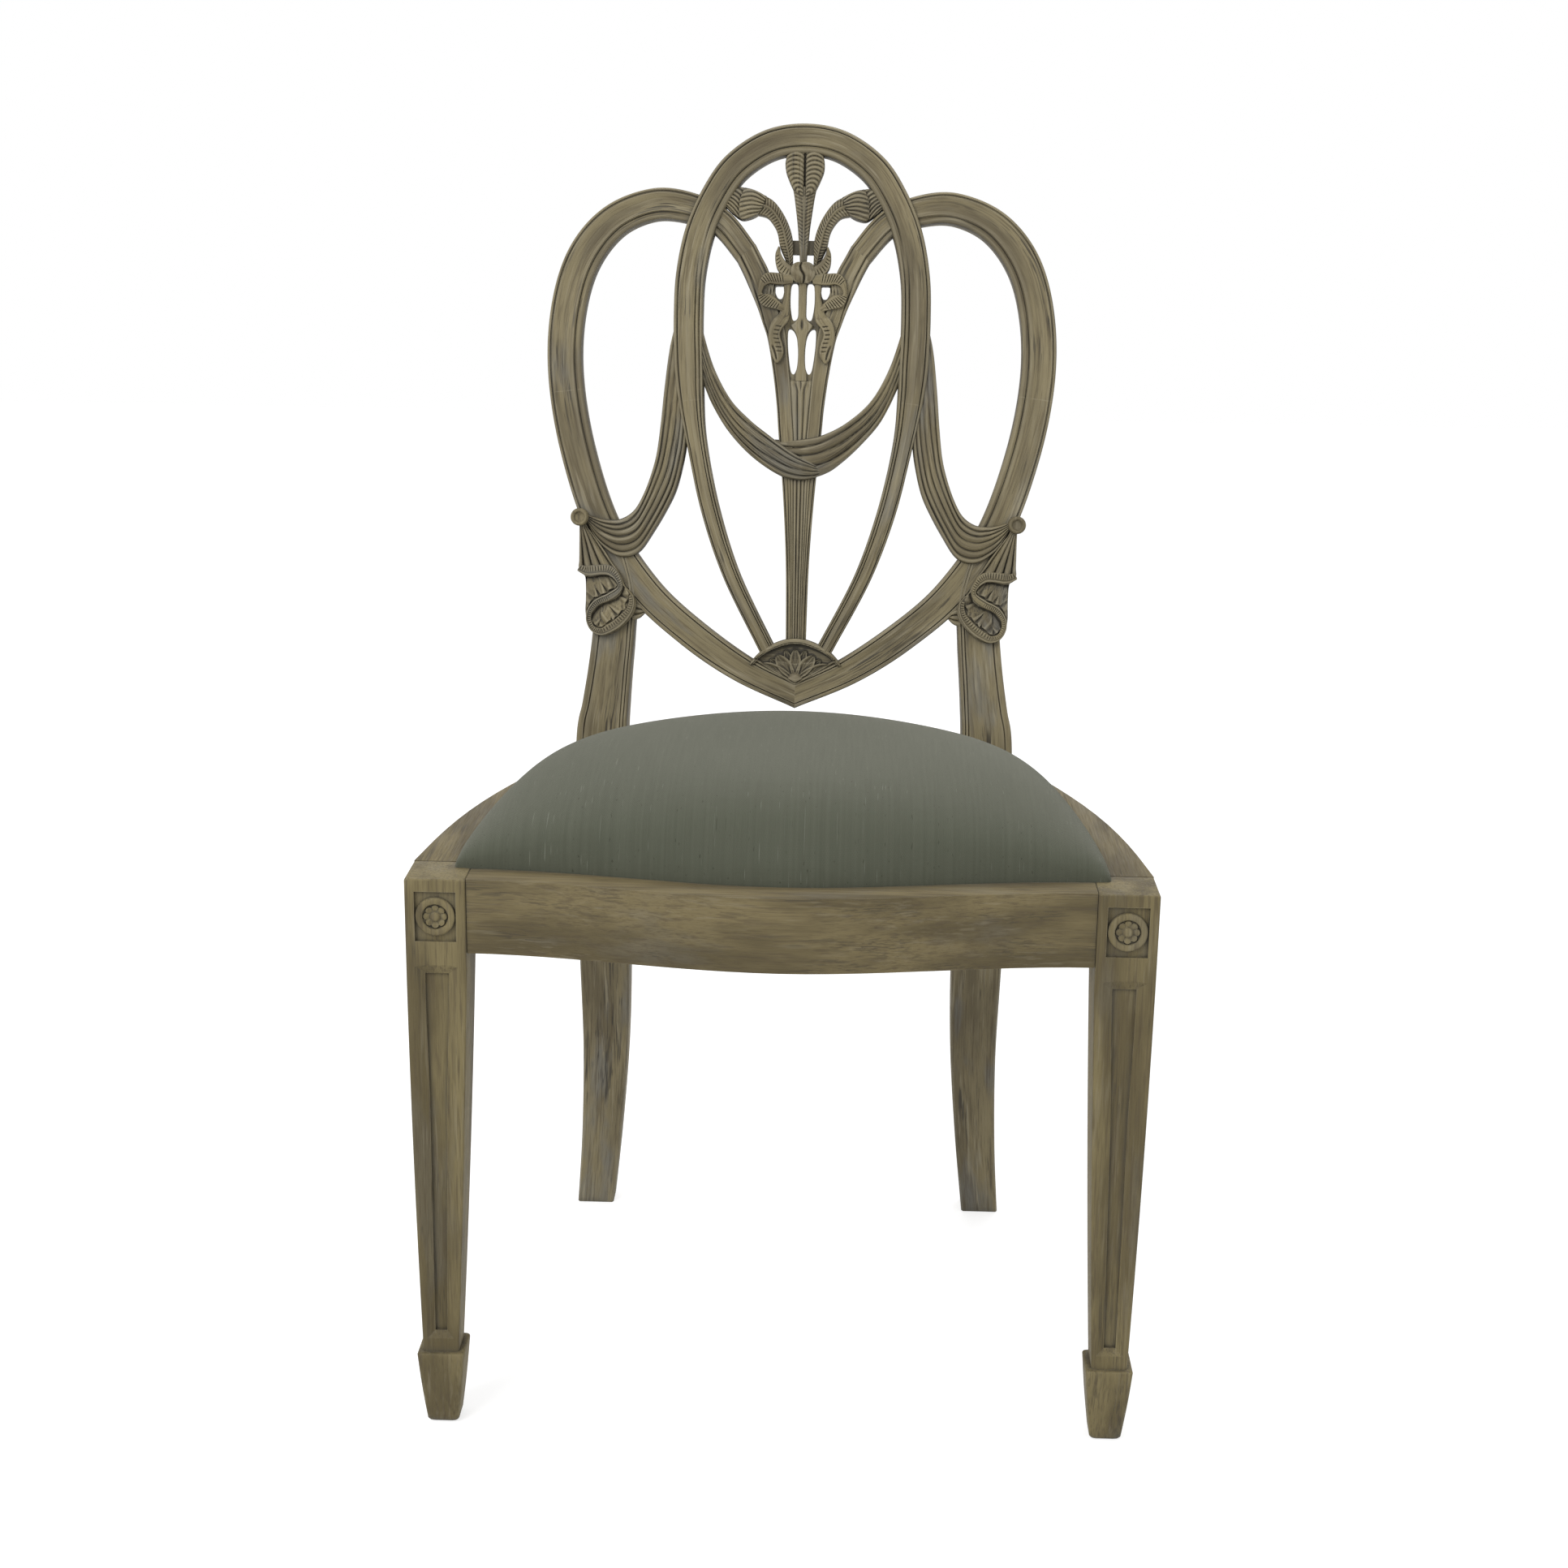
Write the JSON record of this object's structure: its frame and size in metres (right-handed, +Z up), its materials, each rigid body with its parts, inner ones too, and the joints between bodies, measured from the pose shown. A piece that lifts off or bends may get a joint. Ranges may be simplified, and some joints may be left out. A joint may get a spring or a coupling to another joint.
{
  "type": "shield back side chair",
  "caption": "Wooden side chair with a pierced heart-shaped shield back, a tall hoop, carved swags and plumes, tapered legs on spade feet and a drop-in seat.",
  "frame": {"origin": "on the floor, under the middle of the chair's overall box", "axes": "+X to the viewer's right when facing the chair, +Y to the back of the chair, +Z up"},
  "size_m": [0.5404, 0.4913, 0.9593],
  "materials": {
    "wood": "limed and weathered, dull wax",
    "cloth": "slubby plain weave",
    "beech": "bare sawn",
    "web": "jute webbing",
    "foam": "open cell foam",
    "dust": "thin black cloth",
    "steel": "plain zinc"
  },
  "bodies": {
    "chair_frame": {"shield_rail": "wood", "lobe_left": "wood", "lobe_right": "wood", "hoop_arch": "wood", "shield_bar_left": "wood", "shield_bar_right": "wood", "splat": "wood", "plume_left": "wood", "plume_right": "wood", "plume_middle": "wood", "swag_middle": "wood", "swag_left": "wood", "swag_right": "wood", "tail_left": "wood", "tail_right": "wood", "knob_left": "wood", "knob_right": "wood", "fan": "wood", "front_leg_left": "wood", "front_leg_right": "wood", "spade_foot_left": "wood", "spade_foot_right": "wood", "rosette_left": "wood", "rosette_right": "wood", "front_rail": "wood", "side_rail_left": "wood", "side_rail_right": "wood", "rear_rail": "wood", "rear_leg_left": "wood", "rear_leg_right": "wood", "lobe_dowel_left": "beech", "lobe_dowel_right": "beech", "bar_dowel_left": "beech", "bar_dowel_right": "beech", "corner_block_front_left": "beech", "corner_block_front_right": "beech", "corner_block_rear_left": "beech", "corner_block_rear_right": "beech", "screw_front_1_left": "steel", "screw_front_1_right": "steel", "screw_front_2_left": "steel", "screw_front_2_right": "steel", "screw_rear_1_left": "steel", "screw_rear_1_right": "steel", "screw_rear_2_left": "steel", "screw_rear_2_right": "steel"},
    "drop_in_seat": {"seat_frame_front": "beech", "seat_frame_back": "beech", "seat_frame_left": "beech", "seat_frame_right": "beech", "webbing_long_1": "web", "webbing_long_2": "web", "webbing_long_3": "web", "webbing_cross_1": "web", "webbing_cross_2": "web", "foam_pad": "foam", "seat_cover": "cloth", "dust_cover": "dust"}
  },
  "joints": [
    {"name": "seat_lift", "type": "slide", "parent": "chair_frame", "child": "drop_in_seat", "axis": [0, 0, 1], "range_m": [0, 0.12]}
  ]
}
